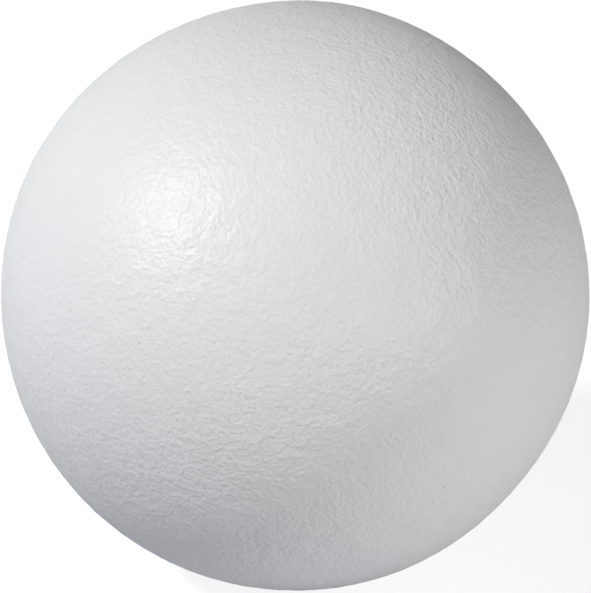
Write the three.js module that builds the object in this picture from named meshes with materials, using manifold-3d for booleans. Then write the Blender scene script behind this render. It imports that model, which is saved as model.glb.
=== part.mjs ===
// Coated foam ball in volleyball size. A solid foam core carries a seal coat that closes its open cells, and a
// tough sprayed skin covers both without a seam. Millimetres, +Z up. The origin is the middle of the patch that
// the ball rests on, and -Y is its front.

import * as THREE from "three";
import { mergeVertices } from "three/addons/utils/BufferGeometryUtils.js";
import Module from "manifold-3d";

// Driving dimensions
const BALL_DIAMETER = 210; // over the skin, which makes the ball 660 round
const SKIN_THICKNESS = 0.6;
const SEAL_COAT_THICKNESS = 0.4;
const BOND_GAP = 0.3; // drawn between two layers that are bonded on the real ball
const REST_DEPTH = 0.5; // how far the soft ball flattens under its own weight
const AIR_HOLE_DIAMETER = 2; // through both coats, so that the foam can breathe

// How finely the round shapes are drawn
const STEPS_AROUND = 48;
const STEPS_PER_QUARTER = 12;
const AIR_HOLE_SIDES = 12;

// Radii of the layers, from the outside in
const skinRadius = BALL_DIAMETER / 2;
const skinInnerRadius = skinRadius - SKIN_THICKNESS;
const sealCoatRadius = skinInnerRadius - BOND_GAP;
const sealCoatInnerRadius = sealCoatRadius - SEAL_COAT_THICKNESS;
const coreRadius = sealCoatInnerRadius - BOND_GAP;

const skinWhite = new THREE.MeshStandardMaterial({ color: 0xe9ebeb, roughness: 0.42, metalness: 0 });
const sealCoatWhite = new THREE.MeshStandardMaterial({ color: 0xdcdcd6, roughness: 0.7, metalness: 0 });
const foamCream = new THREE.MeshStandardMaterial({ color: 0xe8dfc4, roughness: 0.95, metalness: 0 });

const wasm = await Module();
wasm.setup();

// A closed geometry as a solid that can be cut
function toSolid(geometry) {
  const bare = geometry.clone().deleteAttribute("normal").deleteAttribute("uv");
  const merged = mergeVertices(bare);
  const vertProperties = merged.getAttribute("position").array;
  const triVerts = new Uint32Array(merged.index.array);
  return new wasm.Manifold(new wasm.Mesh({ numProp: 3, vertProperties, triVerts }));
}

// A cut solid as a geometry that can be drawn
function toGeometry(solid) {
  const { vertProperties, triVerts } = solid.getMesh();
  const geometry = new THREE.BufferGeometry();
  geometry.setAttribute("position", new THREE.BufferAttribute(vertProperties, 3));
  geometry.setIndex(new THREE.BufferAttribute(triVerts, 1));
  geometry.computeVertexNormals();
  return geometry;
}

// A ball about its own middle, turned round Y, with the flat that it rests on cut across its foot
function flattenedBall(radius) {
  const flatHeight = REST_DEPTH - radius;
  const footAngle = Math.asin(flatHeight / radius);
  const waistAngle = 0;
  const topAngle = Math.PI / 2;
  const section = [new THREE.Vector2(0, flatHeight)];
  for (const [from, to] of [[footAngle, waistAngle], [waistAngle, topAngle]]) {
    for (let step = 0; step < STEPS_PER_QUARTER; step++) {
      const angle = THREE.MathUtils.lerp(from, to, step / STEPS_PER_QUARTER);
      section.push(new THREE.Vector2(radius * Math.cos(angle), radius * Math.sin(angle)));
    }
  }
  section.push(new THREE.Vector2(0, radius));
  return new THREE.LatheGeometry(section, STEPS_AROUND);
}

// The bar that drills the air hole, from the ball's middle out through its back, which is -Z here
function airHoleDrill() {
  const radius = AIR_HOLE_DIAMETER / 2;
  const drill = new THREE.CylinderGeometry(radius, radius, BALL_DIAMETER, AIR_HOLE_SIDES);
  return drill.translate(0, BALL_DIAMETER / 2, 0).rotateX(-Math.PI / 2);
}

// One coat round what lies inside it, pierced by the air hole
function coat(outerRadius, innerRadius) {
  const whole = toSolid(flattenedBall(outerRadius));
  const hollow = toSolid(flattenedBall(innerRadius));
  return toGeometry(whole.subtract(hollow).subtract(toSolid(airHoleDrill())));
}

function piece(name, geometry, material) {
  const mesh = new THREE.Mesh(geometry, material);
  mesh.name = name;
  return mesh;
}

// The layers share one middle, turned so that the axis of their lathes points up
const layers = new THREE.Group();
layers.add(piece("foam_core", flattenedBall(coreRadius), foamCream));
layers.add(piece("seal_coat", coat(sealCoatRadius, sealCoatInnerRadius), sealCoatWhite));
layers.add(piece("skin", coat(skinRadius, skinInnerRadius), skinWhite));
layers.rotation.x = Math.PI / 2;
layers.position.z = skinRadius - REST_DEPTH;

const ball = new THREE.Group();
ball.add(layers);

export default ball;
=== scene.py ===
"""A coated foam ball of volleyball size, modelled layer by layer, in a plain studio.

The foam core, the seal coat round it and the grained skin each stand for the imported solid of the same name.
Metres, +Z up. The ball stands on its rest patch at the origin, and -Y is its front.
"""

import math

import bmesh
import bpy
from bpy.props import FloatProperty, FloatVectorProperty, PointerProperty
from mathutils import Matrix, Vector, noise


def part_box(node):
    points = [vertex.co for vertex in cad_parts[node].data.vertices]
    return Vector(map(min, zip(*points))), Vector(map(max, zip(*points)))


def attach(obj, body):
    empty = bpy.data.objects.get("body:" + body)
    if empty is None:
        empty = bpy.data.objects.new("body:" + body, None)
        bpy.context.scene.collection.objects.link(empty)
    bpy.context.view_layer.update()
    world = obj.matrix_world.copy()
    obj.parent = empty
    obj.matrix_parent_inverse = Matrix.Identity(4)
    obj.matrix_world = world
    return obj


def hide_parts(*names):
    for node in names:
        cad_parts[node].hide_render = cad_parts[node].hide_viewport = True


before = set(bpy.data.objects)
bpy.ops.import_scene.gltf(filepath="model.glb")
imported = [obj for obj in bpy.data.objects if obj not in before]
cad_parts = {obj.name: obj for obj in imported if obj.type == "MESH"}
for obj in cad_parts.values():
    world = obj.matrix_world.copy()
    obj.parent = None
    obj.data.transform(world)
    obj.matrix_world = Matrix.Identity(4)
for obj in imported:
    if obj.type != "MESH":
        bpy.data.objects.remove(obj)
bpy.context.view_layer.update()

bl_info = {
    "name": "Coated Foam Ball",
    "version": (1, 0, 0),
    "blender": (4, 5, 0),
    "location": "View3D > Sidebar > Foam Ball",
    "description": "Models a coated foam ball of volleyball size, layer by layer, in a plain studio",
    "category": "Object",
}

# The photograph's frame, and the ball's outline in it, in pixels
PHOTO_WIDTH = 591
PHOTO_HEIGHT = 593
OUTLINE_RADIUS = 294

# Where the foam ball swells past a true ball or falls short of it: direction, height and how sharply it fades
FORM_SWELLS = (
    (Vector((0.17, 0.34, 0.93)), 0.0009, 14),
    (Vector((-0.87, 0.17, 0.47)), 0.0006, 8),
    (Vector((0.77, -0.22, -0.60)), -0.0009, 14),
    (Vector((-0.10, -0.85, 0.50)), -0.0004, 10),
    (Vector((0.55, 0.80, -0.10)), 0.0005, 10),
    (Vector((-0.50, 0.75, -0.40)), -0.0005, 10),
)

# Where grey specks are caught in the skin
SPECK_DIRECTIONS = (
    Vector((-0.489, -0.858, 0.156)),
    Vector((0.477, -0.803, -0.358)),
    Vector((-0.30, 0.72, 0.62)),
    Vector((0.88, 0.35, -0.31)),
)

# Where the spray left the grain coarser or finer: direction, share of the height, and reach in metres
GRAIN_PATCHES = (
    (Vector((0.49, -0.43, 0.76)), 0.7, 0.08),
    (Vector((-0.02, -0.97, -0.24)), 0.3, 0.07),
    (Vector((-0.43, -0.79, -0.43)), 0.2, 0.06),
    (Vector((-0.78, -0.58, 0.22)), -0.2, 0.06),
    (Vector((0.60, 0.75, 0.20)), 0.3, 0.08),
    (Vector((-0.45, 0.85, -0.25)), -0.2, 0.07),
)

# The mottle's octaves, how much finer each is than the last, and how fast they weaken
MOTTLE_OCTAVES = 2
MOTTLE_STEP = 2.0
MOTTLE_FADE = 1.0

# The grain's octaves beyond its first, how much finer each is than the last, and how strong it is beside it
GRAIN_DETAIL = 1.0
GRAIN_STEP = 2.0
GRAIN_ROUGHNESS = 0.65

# A nib's height, in heights of the grain
NIB_HEIGHT = 0.5

# Where most values of a noise lie, between 0 and 1
NOISE_LOW = 0.3
NOISE_HIGH = 0.7

# Clouds of colour: octaves beyond the first, metres across one in the skin and in the layers under it,
# and the darkest and lightest shade of each layer's colour
CLOUD_DETAIL = 2.0
SKIN_CLOUD_SIZE = 0.02
INNER_CLOUD_SIZE = 0.025
SKIN_SHADES = (0.985, 1.015)
SEAL_COAT_SHADES = (0.97, 1.04)
FOAM_SHADES = (0.94, 1.06)

# Clouds of gloss in the skin: octaves beyond the first, metres across one, and how far its roughness departs
GLOSS_CLOUD_DETAIL = 1.0
GLOSS_CLOUD_SIZE = 0.006
GLOSS_CLOUD_SHARE = 0.04

# Layer Weight's Blend, and its Facing where the skin's gloss begins to dull towards the ball's edge
# and where it is dullest
EDGE_BLEND = 0.3
EDGE_START = 0.2
EDGE_END = 0.8

# The seal coat, as a noise from where it has sunk to where it stands high: octaves beyond the first,
# the painted shade where it has sunk, the value at which that painted shade ends, and the roughness low and
# high
SUNK_DETAIL = 3.0
SUNK_PAINTED_SHADE = 0.9
SUNK_PAINTED_SHADE_END = 0.6
SUNK_ROUGHNESS = 0.78
HIGH_ROUGHNESS = 0.62

# How much of the foam's larger cells still shows through the seal coat
SHOW_THROUGH = 0.17

# The foam: how many times coarser its coarser cells are, a cell's wall as a share of the cell,
# the painted shade inside a cell, and how rough it is
COARSE_CELLS = 2.4
CELL_WALL = 0.28
CELL_PAINTED_SHADE = 0.5
FOAM_ROUGHNESS = 0.95

# Grid steps along each side of the cube that each wall is blown up from
CORE_STEPS = 124
SEAL_COAT_STEPS = 96
SEAL_COAT_LINING_STEPS = 40
SKIN_STEPS = 124
SKIN_LINING_STEPS = 32

# The square of faces, in grid steps each way, that each coat opens round its air hole
HOLE_PATCH_STEPS = 4

# Rings round the air hole: how far outside its rim on an outer wall, how far from its axis on a lining,
# and how many steps go over the rim
RIM_OUTSETS = (0.003, 0.00165, 0.00075)
LINING_RING_RADII = (0.012, 0.008, 0.005, 0.003, 0.002)
RIM_STEPS = 5

# How far the bore of a coat ends short of the coat's lining
BORE_STOP = 0.0001

# How the floor is lifted to white: metres from the middle of the rest patch, and the lift there
FLOOR_NEAR = 0.15
FLOOR_NEAR_LIFT = 0.82
FLOOR_FAR = 1.5
FLOOR_FAR_LIFT = 0.97

WHITE = (1.0, 1.0, 1.0, 1.0)


def width_of(node):
    """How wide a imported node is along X."""
    low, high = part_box(node)
    return high.x - low.x


def height_of(node):
    """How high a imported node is."""
    low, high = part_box(node)
    return high.z - low.z


class BallSizes(bpy.types.PropertyGroup):
    """Sizes of the ball's layers."""

    skin_diameter: FloatProperty(
        name="Skin diameter",
        description="Across the finished ball",
        default=width_of("skin"),
        unit="LENGTH",
    )
    seal_coat_diameter: FloatProperty(
        name="Seal coat diameter",
        description="Across the coat that closes the foam's cells",
        default=width_of("seal_coat"),
        unit="LENGTH",
    )
    core_diameter: FloatProperty(
        name="Core diameter",
        description="Across the foam",
        default=width_of("foam_core"),
        unit="LENGTH",
    )
    bond_gap: FloatProperty(
        name="Bond gap",
        description="Drawn between two layers that are bonded on the real ball",
        default=0.0003,
        unit="LENGTH",
    )
    rest_depth: FloatProperty(
        name="Rest depth",
        description="How far the soft ball flattens where it stands",
        default=width_of("skin") - height_of("skin"),
        unit="LENGTH",
    )
    foot_rounding: FloatProperty(
        name="Foot rounding",
        description="How softly the flat of the foot runs out into the ball",
        default=0.00015,
        unit="LENGTH",
    )
    air_hole_diameter: FloatProperty(
        name="Air hole diameter",
        description="Of the hole at the back through which the foam breathes",
        default=0.002,
        unit="LENGTH",
    )
    air_hole_rounding: FloatProperty(
        name="Air hole rounding",
        description="Radius of the rim where the skin runs into the air hole",
        default=0.0003,
        unit="LENGTH",
    )
    seal_coat_rounding: FloatProperty(
        name="Seal coat rounding",
        description="Radius of the rim where the seal coat runs into the air hole",
        default=0.0001,
        unit="LENGTH",
    )


class SkinFinish(bpy.types.PropertyGroup):
    """Colour and surface of the sprayed skin."""

    colour: FloatVectorProperty(
        name="Colour",
        description="White of the skin",
        default=(0.812, 0.821, 0.824),
        subtype="COLOR",
    )
    roughness: FloatProperty(
        name="Roughness",
        description="How far the skin spreads its highlights",
        default=0.53,
        subtype="FACTOR",
    )
    gloss: FloatProperty(
        name="Gloss",
        description="Strength of those highlights",
        default=0.36,
        subtype="FACTOR",
    )
    glaze: FloatProperty(
        name="Glaze",
        description="Strength of the thin glaze that glints on the grain",
        default=0.058,
        subtype="FACTOR",
    )
    glaze_roughness: FloatProperty(
        name="Glaze roughness",
        description="How far the glaze spreads its glints",
        default=0.35,
        subtype="FACTOR",
    )
    glaze_ior: FloatProperty(
        name="Glaze IOR",
        description="Index of refraction. A high one, with a weak glaze, keeps the ball's edge from glinting",
        default=2.0,
    )
    edge_roughness: FloatProperty(
        name="Edge roughness",
        description="How far the skin spreads its reflections where it is seen at a flat angle",
        default=0.9,
        subtype="FACTOR",
    )
    mottle_size: FloatProperty(
        name="Mottle size",
        description="Across the shallow hollows that the spray leaves in the coat",
        default=0.005,
        unit="LENGTH",
    )
    mottle_height: FloatProperty(
        name="Mottle height",
        description="Height of those hollows' edges",
        default=0.00016,
        unit="LENGTH",
    )
    grain_size: FloatProperty(
        name="Grain size",
        description="Across one bump of the fine grain",
        default=0.0019,
        unit="LENGTH",
    )
    grain_height: FloatProperty(
        name="Grain height",
        description="Height of the fine grain",
        default=0.00039,
        unit="LENGTH",
    )
    nib_spacing: FloatProperty(
        name="Nib spacing",
        description="Between the small nibs that stand up from the grain, roughly",
        default=0.011,
        unit="LENGTH",
    )
    nib_size: FloatProperty(
        name="Nib size",
        description="Across the largest nib",
        default=0.0013,
        unit="LENGTH",
    )
    speck_colour: FloatVectorProperty(
        name="Speck colour",
        description="Grey of the specks that are caught in the skin",
        default=(0.42, 0.42, 0.42),
        subtype="COLOR",
    )
    speck_size: FloatProperty(
        name="Speck size",
        description="Across one speck",
        default=0.0012,
        unit="LENGTH",
    )


class InnerFinish(bpy.types.PropertyGroup):
    """Colours and surfaces of the foam and of the coat that seals it."""

    foam_colour: FloatVectorProperty(
        name="Foam colour",
        description="Cream of the foam",
        default=(0.81, 0.74, 0.55),
        subtype="COLOR",
    )
    cell_size: FloatProperty(
        name="Cell size",
        description="Across one fine cell of the foam",
        default=0.0011,
        unit="LENGTH",
    )
    cell_depth: FloatProperty(
        name="Cell depth",
        description="Depth of a fine cell",
        default=0.0003,
        unit="LENGTH",
    )
    bubble_spacing: FloatProperty(
        name="Bubble spacing",
        description="Between the larger cells that lie open on the foam, roughly",
        default=0.012,
        unit="LENGTH",
    )
    bubble_size: FloatProperty(
        name="Bubble size",
        description="Across the widest of the larger cells",
        default=0.0075,
        unit="LENGTH",
    )
    bubble_depth: FloatProperty(
        name="Bubble depth",
        description="Depth of the deepest of the larger cells",
        default=0.0012,
        unit="LENGTH",
    )
    seal_coat_colour: FloatVectorProperty(
        name="Seal coat colour",
        description="Off-white of the seal coat",
        default=(0.72, 0.72, 0.67),
        subtype="COLOR",
    )


class StudioSettings(bpy.types.PropertyGroup):
    """The camera, the floor and the even light from all round."""

    elevation: FloatProperty(
        name="Camera elevation",
        description="How far the camera looks down on the ball",
        default=math.radians(20),
        subtype="ANGLE",
    )
    lens: FloatProperty(
        name="Lens",
        description="Focal length, in millimetres",
        default=180,
    )
    floor_size: FloatProperty(
        name="Floor size",
        description="Length of the floor's sides",
        default=8,
        unit="LENGTH",
    )
    floor_colour: FloatVectorProperty(
        name="Floor colour",
        description="Pale colour of the floor",
        default=(0.47, 0.485, 0.52),
        subtype="COLOR",
    )
    ambient: FloatProperty(
        name="Ambient",
        description="Level of the even light from all round",
        default=0.01,
    )


# Shared shaping


def middle_height(sizes):
    """Height of the ball's middle above the floor."""
    return sizes.skin_diameter / 2 - sizes.rest_depth


def form_swell(direction):
    """How far the foam ball departs from a true ball in that direction."""
    return sum(
        height * max(0.0, direction.dot(axis)) ** sharpness
        for axis, height, sharpness in FORM_SWELLS
    )


def soft_floor(height, rounding):
    """A height that fades to nothing below the floor instead of going on down."""
    return (height + math.hypot(height, rounding)) / 2


def layer_point(direction, radius, relief, sizes):
    """The point of a layer in a direction from the middle, swollen as the foam is and flat at its foot."""
    point = direction * (radius + form_swell(direction) + relief(direction))
    flat = sizes.rest_depth - radius
    point.z = flat + soft_floor(point.z - flat, sizes.foot_rounding)
    return point


def shape_layer(ball, radius, relief, sizes):
    """Gives an even ball the shape of a layer, still about the ball's middle."""
    for vert in ball.verts:
        vert.co = layer_point(vert.co.normalized(), radius, relief, sizes)


def no_relief(direction):
    """The relief of a smooth layer."""
    return 0.0


def foam_relief(finish, sizes, share):
    """A function that gives a share of the larger cells' relief, in a direction from the middle."""
    reach = finish.bubble_size / 2 / finish.bubble_spacing

    def relief(direction):
        place = direction * sizes.core_diameter / 2 / finish.bubble_spacing
        nearest = noise.voronoi(place)[0][0]
        return -share * finish.bubble_depth * max(0.0, 1 - (nearest / reach) ** 2)

    return relief


def mottle_relief(finish, sizes):
    """A function that gives the relief that the spray left on the skin, in a direction from the middle."""

    def relief(direction):
        place = direction * sizes.skin_diameter / 2 / finish.mottle_size
        return finish.mottle_height * noise.fractal(place, MOTTLE_FADE, MOTTLE_STEP, MOTTLE_OCTAVES)

    return relief


def even_ball(steps):
    """A ball of radius 1 as a bmesh: a gridded cube, blown up so that the grid lies evenly."""
    ball = bmesh.new()
    bmesh.ops.create_cube(ball, size=2.0)
    bmesh.ops.subdivide_edges(ball, edges=ball.edges, cuts=steps - 1, use_grid_fill=True)
    for vert in ball.verts:
        vert.co = Vector([math.tan(along * math.pi / 4) for along in vert.co]).normalized()
    return ball


def open_hole_patch(ball, steps):
    """Deletes the square of faces at the back of an even ball where the air hole comes out."""
    reach = HOLE_PATCH_STEPS * math.pi / 2 / steps
    patch = []
    for face in ball.faces:
        middle = face.calc_center_median()
        if middle.y > 0 and max(abs(middle.x), abs(middle.z)) < middle.y * math.tan(reach):
            patch.append(face)
    bmesh.ops.delete(ball, geom=patch, context="FACES")


def draw_in(wall, ring_radius, depth, radius, relief, sizes):
    """Extrudes the open edge of a wall to a ring round the air hole's axis, at a depth below the wall."""
    rim = [edge for edge in wall.edges if edge.is_boundary]
    made = bmesh.ops.extrude_edge_only(wall, edges=rim)
    side = ring_radius / radius
    back = math.sqrt(1 - side * side)
    for part in made["geom"]:
        if isinstance(part, bmesh.types.BMVert):
            angle = math.atan2(part.co.z, part.co.x)
            direction = Vector((side * math.cos(angle), back, side * math.sin(angle)))
            part.co = layer_point(direction, radius, relief, sizes)
            part.co.y -= depth * back


def shell_wall(steps, radius, relief, sizes, rings):
    """One wall of a coat: an even ball in the wall's shape, drawn in round the air hole ring by ring."""
    wall = even_ball(steps)
    open_hole_patch(wall, steps)
    shape_layer(wall, radius, relief, sizes)
    for ring_radius, depth in rings:
        draw_in(wall, ring_radius, depth, radius, relief, sizes)
    return wall


def rim_rings(hole_radius, rounding, depth):
    """Rings of (radius, depth) from an outer wall over a rounded rim and down a bore of that depth."""
    rings = [(hole_radius + rounding + outset, 0.0) for outset in RIM_OUTSETS]
    for step in range(RIM_STEPS + 1):
        turn = math.pi / 2 * step / RIM_STEPS
        rings.append((hole_radius + rounding * (1 - math.sin(turn)), rounding * (1 - math.cos(turn))))
    rings.append((hole_radius, depth))
    return rings


def lining_rings(hole_radius):
    """Rings of (radius, depth) from a coat's coarse lining to the air hole."""
    return [(radius, 0.0) for radius in (*LINING_RING_RADII, hole_radius)]


def joined_walls(outer, lining):
    """Joins the two walls of a coat through the air hole, and returns them as one closed bmesh."""
    scratch = bpy.data.meshes.new("lining")
    lining.to_mesh(scratch)
    lining.free()
    outer.from_mesh(scratch)
    bpy.data.meshes.remove(scratch)
    open_edges = [edge for edge in outer.edges if edge.is_boundary]
    bmesh.ops.bridge_loops(outer, edges=open_edges)
    bmesh.ops.recalc_face_normals(outer, faces=outer.faces)
    return outer


def raised(shape, sizes):
    """Lifts a shape that was made about the ball's middle, so that the ball stands on the floor."""
    bmesh.ops.translate(shape, vec=(0, 0, middle_height(sizes)), verts=shape.verts)
    return shape


def coat_shape(diameter, diameter_under_it, steps, lining_steps, relief, rounding, sizes):
    """A coat as a bmesh: a wall with a relief, a smooth lining over the layer under it, and the air hole."""
    outer_radius = diameter / 2
    inner_radius = diameter_under_it / 2 + sizes.bond_gap
    hole_radius = sizes.air_hole_diameter / 2
    rings = rim_rings(hole_radius, rounding, outer_radius - inner_radius - BORE_STOP)
    outer = shell_wall(steps, outer_radius, relief, sizes, rings)
    lining = shell_wall(lining_steps, inner_radius, no_relief, sizes, lining_rings(hole_radius))
    return raised(joined_walls(outer, lining), sizes)


def put_in_order(parts, key):
    """Sorts the points or faces of a bmesh, which Blender's extruding leaves in another order on each run."""
    for index, part in enumerate(sorted(parts, key=key)):
        part.index = index
    parts.sort()


def finished_piece(name, shape, material):
    """Makes an object of a bmesh, smooth and in one material."""
    mesh = bpy.data.meshes.new(name)
    put_in_order(shape.verts, lambda vert: vert.co.to_tuple())
    put_in_order(shape.faces, lambda face: sorted(vert.index for vert in face.verts))
    for face in shape.faces:
        face.smooth = True
    shape.to_mesh(mesh)
    shape.free()
    mesh.materials.append(material)
    piece = bpy.data.objects.new(name, mesh)
    bpy.context.scene.collection.objects.link(piece)
    return piece


# Materials


def new_material(name):
    """An empty node material with its output, as (material, tree, output)."""
    material = bpy.data.materials.new(name)
    material.use_nodes = True
    tree = material.node_tree
    tree.nodes.clear()
    output = tree.nodes.new("ShaderNodeOutputMaterial")
    return material, tree, output


def feed(tree, socket, value):
    """Links another node's socket to an input, or sets the input to a value."""
    if isinstance(value, bpy.types.NodeSocket):
        tree.links.new(value, socket)
    else:
        socket.default_value = value


def add_node(tree, kind, settings=None, **inputs):
    """Adds a node, with its settings, and sets or links its inputs by name."""
    node = tree.nodes.new(kind)
    for name, value in (settings or {}).items():
        setattr(node, name, value)
    for name, value in inputs.items():
        feed(tree, node.inputs[name.replace("_", " ")], value)
    return node


def math_node(tree, operation, first, second):
    """The result of a sum on two sockets or numbers."""
    node = add_node(tree, "ShaderNodeMath", {"operation": operation})
    for socket, value in zip(node.inputs, (first, second)):
        feed(tree, socket, value)
    return node.outputs[0]


def object_place(tree):
    """The Object coordinates of the surface."""
    return tree.nodes.new("ShaderNodeTexCoord").outputs["Object"]


def noise_at(tree, place, size, **inputs):
    """A noise whose bumps are about that far across, from 0 to 1."""
    return add_node(tree, "ShaderNodeTexNoise", Vector=place, Scale=1 / size, **inputs).outputs["Fac"]


def ranged(tree, value, low, high, to_low, to_high):
    """A value carried from one range to another, without leaving it."""
    node = add_node(tree, "ShaderNodeMapRange", Value=value, From_Min=low, From_Max=high, To_Min=to_low,
                    To_Max=to_high)
    return node.outputs["Result"]


def blended(tree, factor, first, second):
    """A colour between two colours, each given as a socket or as four numbers."""
    node = add_node(tree, "ShaderNodeMix", {"data_type": "RGBA"}, Factor=factor)
    for name, colour in (("A", first), ("B", second)):
        socket = [each for each in node.inputs if each.name == name and each.type == "RGBA"][0]
        feed(tree, socket, colour)
    return [each for each in node.outputs if each.type == "RGBA"][0]


def shade(colour, share):
    """A colour made darker or lighter by a share, with its alpha."""
    return (*(min(1.0, part * share) for part in colour), 1)


def clouded(tree, place, colour, size, shades):
    """A colour with clouds about that far across, from the first of two shades to the second."""
    darkest, lightest = shades
    cloud = noise_at(tree, place, size, Detail=CLOUD_DETAIL)
    return blended(tree, cloud, shade(colour, darkest), shade(colour, lightest))


def distance_from(tree, place, direction, sizes):
    """How far the surface is from the point of the skin that lies in a direction from the ball's middle."""
    middle = Vector((0, 0, middle_height(sizes)))
    gap = add_node(tree, "ShaderNodeVectorMath", {"operation": "DISTANCE"}, Vector=place)
    gap.inputs[1].default_value = middle + direction.normalized() * sizes.skin_diameter / 2
    return gap.outputs["Value"]


def grain_strength(tree, place, sizes):
    """How coarse the spray left the grain, 1 where it is even."""
    strength = 1.0
    for direction, share, reach in GRAIN_PATCHES:
        patch = ranged(tree, distance_from(tree, place, direction, sizes), 0.0, reach, share, 0.0)
        patch.node.interpolation_type = "SMOOTHSTEP"
        strength = math_node(tree, "ADD", strength, patch)
    return strength


def grain_height(tree, place, finish, sizes):
    """The fine grain of the skin, in heights of the grain, with a few nibs that the spray left on it."""
    grain = noise_at(tree, place, finish.grain_size, Detail=GRAIN_DETAIL, Lacunarity=GRAIN_STEP,
                     Roughness=GRAIN_ROUGHNESS)
    grain = math_node(tree, "MULTIPLY", grain, grain_strength(tree, place, sizes))
    spots = add_node(tree, "ShaderNodeTexVoronoi", Vector=place, Scale=1 / finish.nib_spacing)
    reach = finish.nib_size / 2 / finish.nib_spacing
    nibs = ranged(tree, spots.outputs["Distance"], 0.0, reach, NIB_HEIGHT, 0.0)
    return math_node(tree, "ADD", grain, nibs)


def speck_shade(tree, place, finish, sizes):
    """1 on the few grey specks that are caught in the skin, and 0 elsewhere."""
    nearest = None
    for direction in SPECK_DIRECTIONS:
        distance = distance_from(tree, place, direction, sizes)
        nearest = distance if nearest is None else math_node(tree, "MINIMUM", nearest, distance)
    return ranged(tree, nearest, 0.0, finish.speck_size / 2, 1.0, 0.0)


def dulled_edge(tree, roughness, edge_roughness):
    """A roughness that rises at flat angles, where the grain stands in the way of its own gloss."""
    facing = add_node(tree, "ShaderNodeLayerWeight", Blend=EDGE_BLEND).outputs["Facing"]
    dulling = ranged(tree, facing, EDGE_START, EDGE_END, 0.0, 1.0)
    return add_node(tree, "ShaderNodeMix", Factor=dulling, A=roughness, B=edge_roughness).outputs["Result"]


def skin_material(finish, sizes):
    """The grained white skin under its thin glaze."""
    material, tree, output = new_material("skin_white")
    place = object_place(tree)
    height = grain_height(tree, place, finish, sizes)
    bump = add_node(tree, "ShaderNodeBump", Distance=finish.grain_height, Height=height).outputs["Normal"]
    clean = clouded(tree, place, finish.colour, SKIN_CLOUD_SIZE, SKIN_SHADES)
    colour = blended(tree, speck_shade(tree, place, finish, sizes), clean, (*finish.speck_colour, 1))
    cloud = noise_at(tree, place, GLOSS_CLOUD_SIZE, Detail=GLOSS_CLOUD_DETAIL)
    dull = ranged(tree, cloud, NOISE_LOW, NOISE_HIGH, finish.roughness - GLOSS_CLOUD_SHARE,
                  finish.roughness + GLOSS_CLOUD_SHARE)
    dull = dulled_edge(tree, dull, finish.edge_roughness)
    shader = add_node(tree, "ShaderNodeBsdfPrincipled", Base_Color=colour, Roughness=dull, Normal=bump,
                      Specular_IOR_Level=finish.gloss, Coat_Weight=finish.glaze, Coat_IOR=finish.glaze_ior,
                      Coat_Roughness=finish.glaze_roughness, Coat_Normal=bump)
    tree.links.new(shader.outputs["BSDF"], output.inputs["Surface"])
    return material


def seal_coat_material(finish):
    """The dull off-white coat under the skin, which has sunk a little into the foam's fine cells, with
    painted shade where it has sunk.
    """
    material, tree, output = new_material("seal_coat_dull")
    place = object_place(tree)
    height = noise_at(tree, place, finish.cell_size, Detail=SUNK_DETAIL)
    bump = add_node(tree, "ShaderNodeBump", Distance=finish.cell_depth, Height=height).outputs["Normal"]
    clean = clouded(tree, place, finish.seal_coat_colour, INNER_CLOUD_SIZE, SEAL_COAT_SHADES)
    # Painted shade: the colour darkens where the coat has sunk into the cells, where shade would fall
    risen = ranged(tree, height, NOISE_LOW, SUNK_PAINTED_SHADE_END, 0.0, 1.0)
    colour = blended(tree, risen, shade(finish.seal_coat_colour, SUNK_PAINTED_SHADE), clean)
    dull = ranged(tree, height, NOISE_LOW, NOISE_HIGH, SUNK_ROUGHNESS, HIGH_ROUGHNESS)
    shader = add_node(tree, "ShaderNodeBsdfPrincipled", Base_Color=colour, Roughness=dull, Normal=bump)
    tree.links.new(shader.outputs["BSDF"], output.inputs["Surface"])
    return material


def cell_walls(tree, place, size):
    """The walls between cells that are about that far across: 1 on a wall, and 0 inside a cell."""
    cells = add_node(tree, "ShaderNodeTexVoronoi", {"feature": "DISTANCE_TO_EDGE"}, Vector=place,
                     Scale=1 / size)
    return ranged(tree, cells.outputs["Distance"], 0.0, CELL_WALL, 1.0, 0.0)


def foam_material(finish):
    """The cream foam, with fine and coarser cells cut open all over it, and painted shade inside each cell.
    """
    material, tree, output = new_material("foam_cream")
    place = object_place(tree)
    walls = math_node(tree, "MAXIMUM", cell_walls(tree, place, finish.cell_size),
                      cell_walls(tree, place, finish.cell_size * COARSE_CELLS))
    bump = add_node(tree, "ShaderNodeBump", Distance=finish.cell_depth, Height=walls).outputs["Normal"]
    clean = clouded(tree, place, finish.foam_colour, INNER_CLOUD_SIZE, FOAM_SHADES)
    # Painted shade: the colour darkens inside each cell, away from its walls, where the walls would shade it
    colour = blended(tree, walls, shade(finish.foam_colour, CELL_PAINTED_SHADE), clean)
    shader = add_node(tree, "ShaderNodeBsdfPrincipled", Base_Color=colour, Roughness=FOAM_ROUGHNESS,
                      Normal=bump)
    tree.links.new(shader.outputs["BSDF"], output.inputs["Surface"])
    return material


def seen_ray(tree):
    """1 for the rays that show the surroundings: to the camera, off gloss and through glass."""
    path = tree.nodes.new("ShaderNodeLightPath")
    reflected = math_node(tree, "MAXIMUM", path.outputs["Is Camera Ray"], path.outputs["Is Glossy Ray"])
    return math_node(tree, "MAXIMUM", reflected, path.outputs["Is Transmission Ray"])


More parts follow.
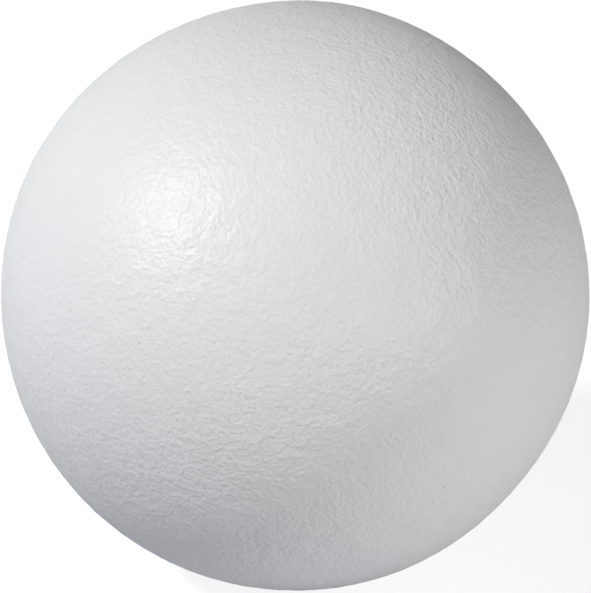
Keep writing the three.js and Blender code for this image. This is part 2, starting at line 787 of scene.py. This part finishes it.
def floor_material(colour):
    """The pale floor, lifted to white where the camera or a reflection sees it, with its shadow kept."""
    material, tree, output = new_material("floor_pale")
    diffuse = add_node(tree, "ShaderNodeBsdfDiffuse", Color=(*colour, 1))
    distance = add_node(tree, "ShaderNodeVectorMath", {"operation": "LENGTH"}, Vector=object_place(tree))
    lift = ranged(tree, distance.outputs["Value"], FLOOR_NEAR, FLOOR_FAR, FLOOR_NEAR_LIFT, FLOOR_FAR_LIFT)
    lift = math_node(tree, "MULTIPLY", seen_ray(tree), lift)
    glow = add_node(tree, "ShaderNodeEmission", Color=WHITE, Strength=lift)
    both = tree.nodes.new("ShaderNodeAddShader")
    tree.links.new(diffuse.outputs["BSDF"], both.inputs[0])
    tree.links.new(glow.outputs["Emission"], both.inputs[1])
    tree.links.new(both.outputs["Shader"], output.inputs["Surface"])
    material.cycles.emission_sampling = "NONE"
    return material


# Pieces


class FOAMBALL_OT_add_core(bpy.types.Operator):
    """Add the solid ball of open-celled foam"""

    bl_idname = "foam_ball.add_core"
    bl_label = "Foam Core"

    def execute(self, context):
        sizes = context.scene.foam_ball_sizes
        finish = context.scene.foam_ball_inner
        core = even_ball(CORE_STEPS)
        shape_layer(core, sizes.core_diameter / 2, foam_relief(finish, sizes, 1.0), sizes)
        piece = finished_piece("foam_ball_core", raised(core, sizes), foam_material(finish))
        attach(piece, "root")
        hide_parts("foam_core")
        return {"FINISHED"}


class FOAMBALL_OT_add_seal_coat(bpy.types.Operator):
    """Add the coat that closes the foam's cells and carries the skin"""

    bl_idname = "foam_ball.add_seal_coat"
    bl_label = "Seal Coat"

    def execute(self, context):
        sizes = context.scene.foam_ball_sizes
        finish = context.scene.foam_ball_inner
        relief = foam_relief(finish, sizes, SHOW_THROUGH)
        coat = coat_shape(sizes.seal_coat_diameter, sizes.core_diameter, SEAL_COAT_STEPS,
                          SEAL_COAT_LINING_STEPS, relief, sizes.seal_coat_rounding, sizes)
        piece = finished_piece("foam_ball_seal_coat", coat, seal_coat_material(finish))
        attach(piece, "root")
        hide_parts("seal_coat")
        return {"FINISHED"}


class FOAMBALL_OT_add_skin(bpy.types.Operator):
    """Add the tough sprayed skin with its grain and its air hole"""

    bl_idname = "foam_ball.add_skin"
    bl_label = "Skin"

    def execute(self, context):
        sizes = context.scene.foam_ball_sizes
        finish = context.scene.foam_ball_skin
        relief = mottle_relief(finish, sizes)
        coat = coat_shape(sizes.skin_diameter, sizes.seal_coat_diameter, SKIN_STEPS,
                          SKIN_LINING_STEPS, relief, sizes.air_hole_rounding, sizes)
        piece = finished_piece("foam_ball_skin", coat, skin_material(finish, sizes))
        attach(piece, "root")
        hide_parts("skin")
        return {"FINISHED"}


# Studio


def place_toward(distant, target):
    """Turns an object so that it looks at a point."""
    distant.rotation_euler = (target - distant.location).to_track_quat("-Z", "Y").to_euler()


def studio_direction(azimuth, elevation):
    """A direction from the ball's middle, by degrees to the right of its front and above the horizon."""
    across = math.radians(azimuth)
    above = math.radians(elevation)
    return Vector((math.sin(across) * math.cos(above), -math.cos(across) * math.cos(above), math.sin(above)))


def add_lamp(target, name, azimuth, elevation, distance, size, power, colour, beam=180, in_gloss=True,
             in_matt=True):
    """Adds a soft lamp that faces the ball and that the camera doesn't see. Its beam is in degrees."""
    light = bpy.data.lights.new(name, "AREA")
    light.shape = "RECTANGLE"
    light.size, light.size_y = size
    light.energy = power
    light.color = colour
    light.spread = math.radians(beam)
    lamp = bpy.data.objects.new(name, light)
    lamp.location = target + studio_direction(azimuth, elevation) * distance
    place_toward(lamp, target)
    lamp.visible_camera = False
    lamp.visible_glossy = in_gloss
    lamp.visible_diffuse = in_matt
    bpy.context.scene.collection.objects.link(lamp)


def add_camera(studio, target, ball_radius):
    """Adds the camera so that the ball's outline has its size in the photograph."""
    data = bpy.data.cameras.new("camera")
    data.lens = studio.lens
    half_frame = data.sensor_width / 2 / data.lens
    outline_angle = math.atan(half_frame * OUTLINE_RADIUS / (max(PHOTO_WIDTH, PHOTO_HEIGHT) / 2))
    camera = bpy.data.objects.new("camera", data)
    elevation = math.degrees(studio.elevation)
    camera.location = target + studio_direction(0, elevation) * (ball_radius / math.sin(outline_angle))
    place_toward(camera, target)
    bpy.context.scene.collection.objects.link(camera)
    bpy.context.scene.camera = camera


def add_world(studio):
    """Adds the surroundings: white where they are seen, and an even soft light elsewhere."""
    world = bpy.data.worlds.new("surroundings")
    world.use_nodes = True
    tree = world.node_tree
    tree.nodes.clear()
    output = tree.nodes.new("ShaderNodeOutputWorld")
    level = add_node(tree, "ShaderNodeMix", Factor=seen_ray(tree), A=studio.ambient, B=1.0)
    background = add_node(tree, "ShaderNodeBackground", Color=WHITE, Strength=level.outputs["Result"])
    tree.links.new(background.outputs["Background"], output.inputs["Surface"])
    bpy.context.scene.world = world


# The lamps, by degrees right of the ball's front and above the horizon, metres from its middle, and watts.
# Without in_gloss a lamp gives no highlight, and without in_matt it gives nothing else.
LAMPS = (
    {"name": "key", "azimuth": -62, "elevation": 43.5, "distance": 1.4, "size": (0.3, 0.3), "power": 15.9,
     "colour": (0.983, 0.993, 1.0), "in_gloss": False},
    {"name": "highlight", "azimuth": -61, "elevation": 39, "distance": 1.4, "size": (0.3, 0.3), "power": 18.2,
     "colour": (0.983, 0.993, 1.0), "in_matt": False},
    {"name": "fill", "azimuth": 44, "elevation": 4, "distance": 1.4, "size": (1.0, 0.34), "power": 5.45,
     "colour": (1.0, 0.91, 0.79)},
    {"name": "side_fill", "azimuth": 56, "elevation": 4, "distance": 1.4, "size": (1.0, 0.34), "power": 5.45,
     "colour": (0.87, 0.89, 1.0)},
    {"name": "top", "azimuth": 180, "elevation": 60, "distance": 1.4, "size": (1.0, 0.6), "power": 0.35,
     "colour": (1.0, 1.0, 1.0), "in_gloss": False},
    {"name": "back", "azimuth": 180, "elevation": -3, "distance": 1.2, "size": (0.4, 0.1), "power": 0.22,
     "colour": (1.0, 1.0, 1.0), "beam": 24, "in_gloss": False},
)


class FOAMBALL_OT_add_stage(bpy.types.Operator):
    """Add the floor, the lamps, the surroundings and the camera"""

    bl_idname = "foam_ball.add_stage"
    bl_label = "Stage"

    def execute(self, context):
        sizes = context.scene.foam_ball_sizes
        studio = context.scene.foam_ball_studio
        target = Vector((0, 0, middle_height(sizes)))
        ground = bmesh.new()
        bmesh.ops.create_grid(ground, x_segments=1, y_segments=1, size=studio.floor_size / 2)
        floor = finished_piece("floor", ground, floor_material(studio.floor_colour))
        for lamp in LAMPS:
            add_lamp(target, **lamp)
        add_camera(studio, target, sizes.skin_diameter / 2)
        add_world(studio)
        context.scene.view_settings.view_transform = "Standard"
        return {"FINISHED"}


class VIEW3D_PT_foam_ball(bpy.types.Panel):
    """Lists the ball's sizes, finishes and layers"""

    bl_label = "Foam Ball"
    bl_space_type = "VIEW_3D"
    bl_region_type = "UI"
    bl_category = "Foam Ball"

    def draw(self, context):
        scene = context.scene
        groups = (scene.foam_ball_sizes, scene.foam_ball_skin, scene.foam_ball_inner, scene.foam_ball_studio)
        for group in groups:
            box = self.layout.box()
            for name in group.bl_rna.properties.keys():
                if name not in ("rna_type", "name"):
                    box.prop(group, name)
        for operator in (FOAMBALL_OT_add_stage, *LAYER_OPERATORS):
            self.layout.operator(operator.bl_idname)


LAYER_OPERATORS = (FOAMBALL_OT_add_core, FOAMBALL_OT_add_seal_coat, FOAMBALL_OT_add_skin)
CLASSES = (
    BallSizes,
    SkinFinish,
    InnerFinish,
    StudioSettings,
    *LAYER_OPERATORS,
    FOAMBALL_OT_add_stage,
    VIEW3D_PT_foam_ball,
)


def register():
    """Registers the classes, and gives each scene its settings."""
    for each in CLASSES:
        bpy.utils.register_class(each)
    bpy.types.Scene.foam_ball_sizes = PointerProperty(type=BallSizes)
    bpy.types.Scene.foam_ball_skin = PointerProperty(type=SkinFinish)
    bpy.types.Scene.foam_ball_inner = PointerProperty(type=InnerFinish)
    bpy.types.Scene.foam_ball_studio = PointerProperty(type=StudioSettings)


def unregister():
    """Takes the settings and the classes away again."""
    del bpy.types.Scene.foam_ball_studio
    del bpy.types.Scene.foam_ball_inner
    del bpy.types.Scene.foam_ball_skin
    del bpy.types.Scene.foam_ball_sizes
    for each in reversed(CLASSES):
        bpy.utils.unregister_class(each)


def main():
    """Builds the stage and the ball."""
    register()
    bpy.ops.foam_ball.add_stage()
    bpy.ops.foam_ball.add_core()
    bpy.ops.foam_ball.add_seal_coat()
    bpy.ops.foam_ball.add_skin()


if __name__ == "__main__":
    main()
